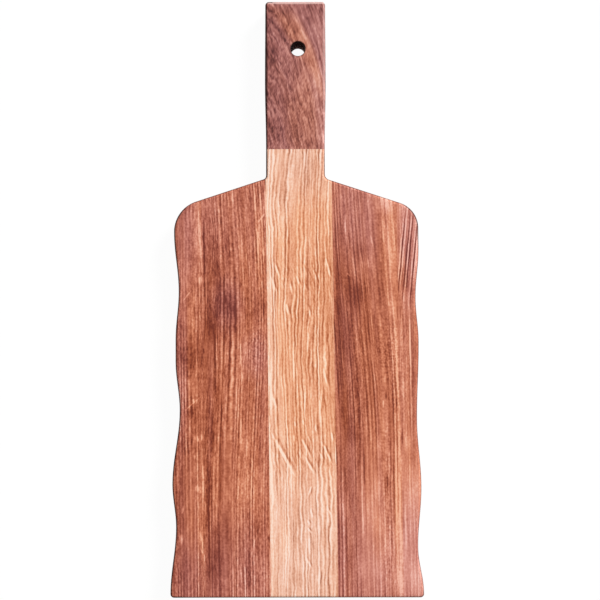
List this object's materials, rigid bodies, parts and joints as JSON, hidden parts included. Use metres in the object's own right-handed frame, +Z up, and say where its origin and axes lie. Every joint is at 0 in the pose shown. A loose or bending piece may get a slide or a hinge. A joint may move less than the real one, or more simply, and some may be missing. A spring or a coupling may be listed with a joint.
{
  "type": "paddle serving board",
  "caption": "Flat paddle serving board of glued oak staves, with wavy sides, sloped shoulders and a dark handle with a hanging hole.",
  "frame": {"origin": "middle of the underside's bounding box, on the surface that the board lies on", "axes": "+Y from the foot end towards the handle's tip, +X to the right seen from above, +Z up out of the serving face"},
  "size_m": [0.1886, 0.45, 0.02],
  "materials": {
    "red_oak_edge_left": "oiled, satin",
    "red_oak_left": "oiled, satin",
    "pale_oak": "oiled, satin",
    "red_oak_right": "oiled, satin",
    "red_oak_edge_right": "oiled, satin",
    "walnut": "oiled, satin",
    "beech": "bare, fluted"
  },
  "bodies": {
    "root": {"left_edge_stave": "red_oak_edge_left", "left_stave": "red_oak_left", "centre_stave": "pale_oak", "right_stave": "red_oak_right", "right_edge_stave": "red_oak_edge_right", "handle_block": "walnut", "left_dowel": "beech", "right_dowel": "beech"}
  },
  "joints": []
}
